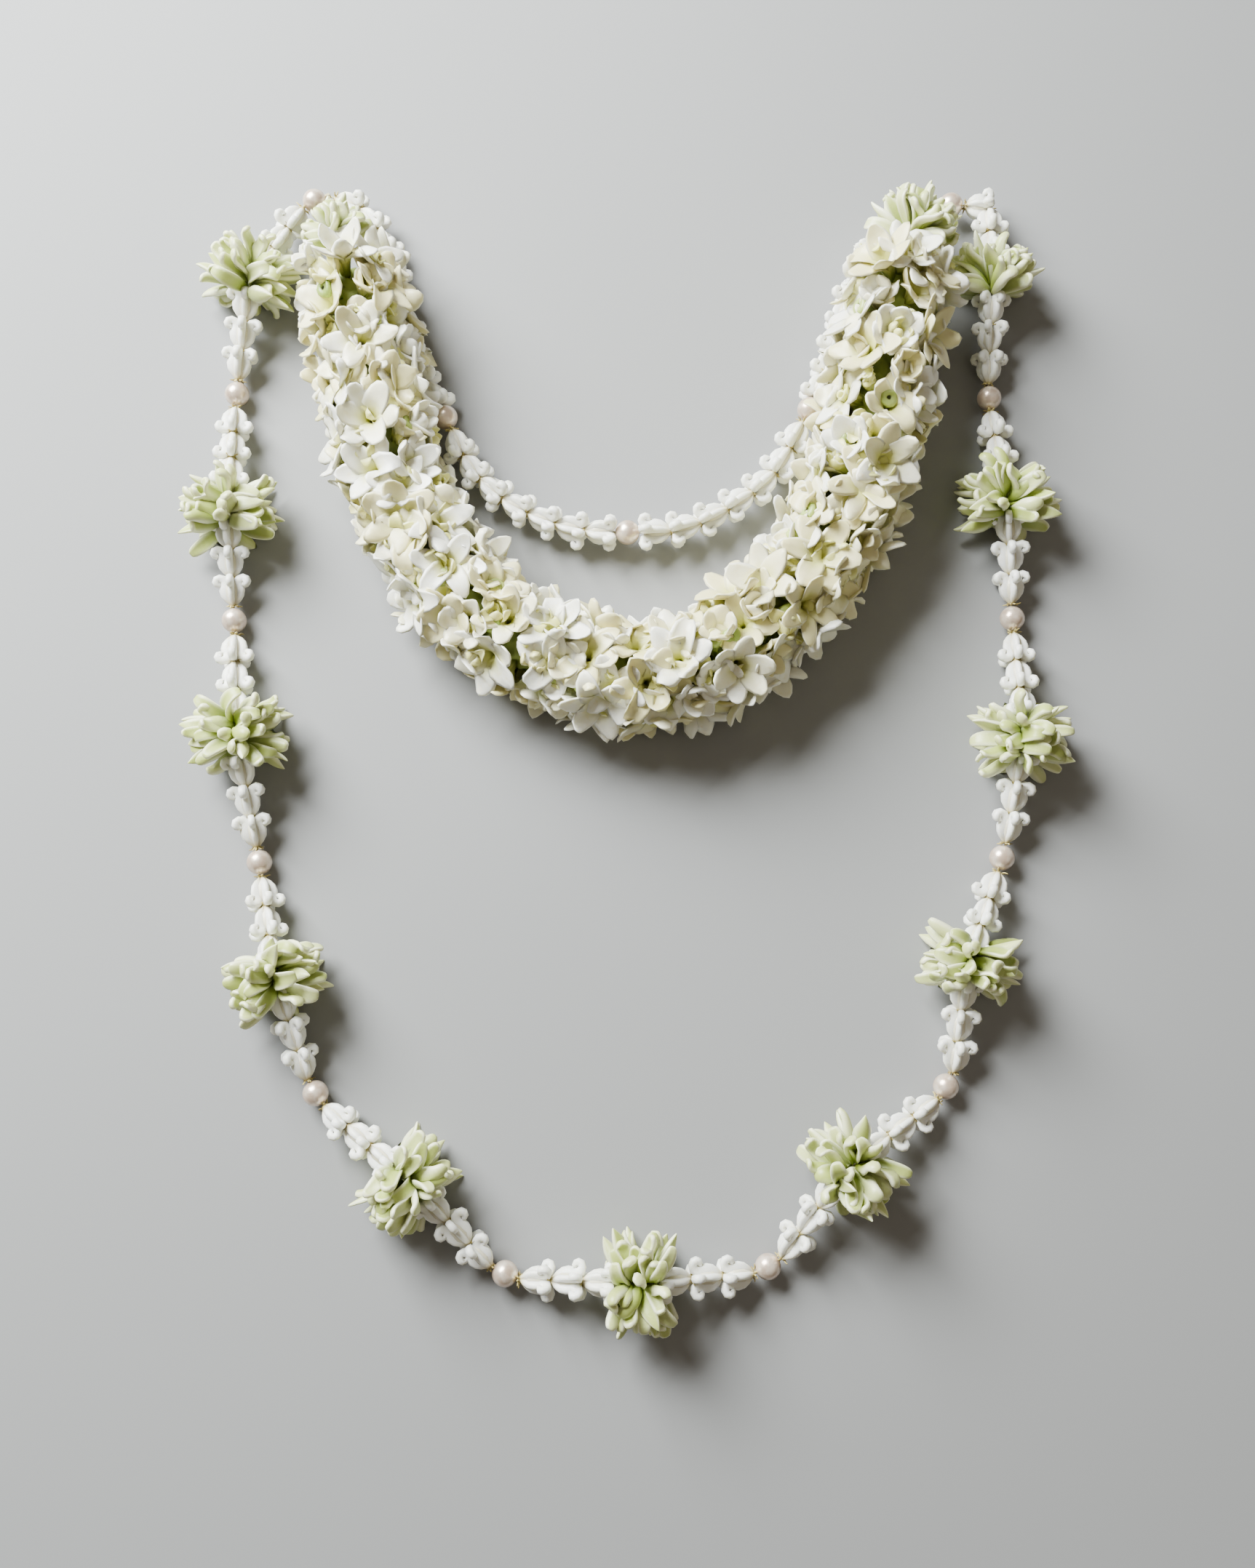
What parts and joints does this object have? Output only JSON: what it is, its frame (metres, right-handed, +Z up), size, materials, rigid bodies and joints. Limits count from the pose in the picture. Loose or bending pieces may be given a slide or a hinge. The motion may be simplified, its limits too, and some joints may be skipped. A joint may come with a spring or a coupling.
{
  "type": "flower lei",
  "caption": "Flower lei lying flat: a thick tuberose rope, and two strands of crown flowers, pearls and petal pompons joined at two pearls.",
  "frame": {"origin": "on the surface the lei lies on, below the middle of its outline's box", "axes": "+Z up out of the surface; +Y from the low bend of the outer strand to the junction pearls at the wearer's neck; +X to the right seen from above"},
  "size_m": [0.4143, 0.5378, 0.0602],
  "materials": {
    "pearl": "pearlescent",
    "crown_flower": "waxy",
    "pompon_petal": "waxy",
    "tuberose_petal": "waxy",
    "thread": "twisted cotton"
  },
  "bodies": {
    "root": {"pearl_outer_01": "pearl", "pearl_outer_02": "pearl", "pearl_outer_03": "pearl", "pearl_outer_04": "pearl", "pearl_outer_05": "pearl", "pearl_outer_06": "pearl", "pearl_outer_07": "pearl", "pearl_outer_08": "pearl", "pearl_outer_09": "pearl", "pearl_outer_10": "pearl", "pearl_junction_left": "pearl", "pearl_junction_right": "pearl", "pearl_inner_left": "pearl", "pearl_inner_middle": "pearl", "pearl_inner_right": "pearl", "flowers_outer_01": "crown_flower", "flowers_outer_02": "crown_flower", "flowers_outer_03": "crown_flower", "flowers_outer_04": "crown_flower", "flowers_outer_05": "crown_flower", "flowers_outer_06": "crown_flower", "flowers_outer_07": "crown_flower", "flowers_outer_08": "crown_flower", "flowers_outer_09": "crown_flower", "flowers_outer_10": "crown_flower", "flowers_outer_11": "crown_flower", "flowers_outer_12": "crown_flower", "flowers_outer_13": "crown_flower", "flowers_outer_14": "crown_flower", "flowers_outer_15": "crown_flower", "flowers_outer_16": "crown_flower", "flowers_outer_17": "crown_flower", "flowers_outer_18": "crown_flower", "flowers_outer_19": "crown_flower", "flowers_outer_20": "crown_flower", "flowers_outer_21": "crown_flower", "flowers_outer_22": "crown_flower", "flowers_inner_left_upper": "crown_flower", "flowers_inner_left_lower": "crown_flower", "flowers_inner_right_lower": "crown_flower", "flowers_inner_right_upper": "crown_flower", "pompon_outer_01": "pompon_petal", "pompon_outer_02": "pompon_petal", "pompon_outer_03": "pompon_petal", "pompon_outer_04": "pompon_petal", "pompon_outer_05": "pompon_petal", "pompon_outer_06": "pompon_petal", "pompon_outer_07": "pompon_petal", "pompon_outer_08": "pompon_petal", "pompon_outer_09": "pompon_petal", "pompon_outer_10": "pompon_petal", "pompon_outer_11": "pompon_petal", "pompon_rope_left": "pompon_petal", "pompon_rope_right": "pompon_petal", "rope_1": "tuberose_petal", "rope_2": "tuberose_petal", "rope_3": "tuberose_petal", "rope_4": "tuberose_petal", "rope_5": "tuberose_petal", "thread": "thread"}
  },
  "joints": []
}
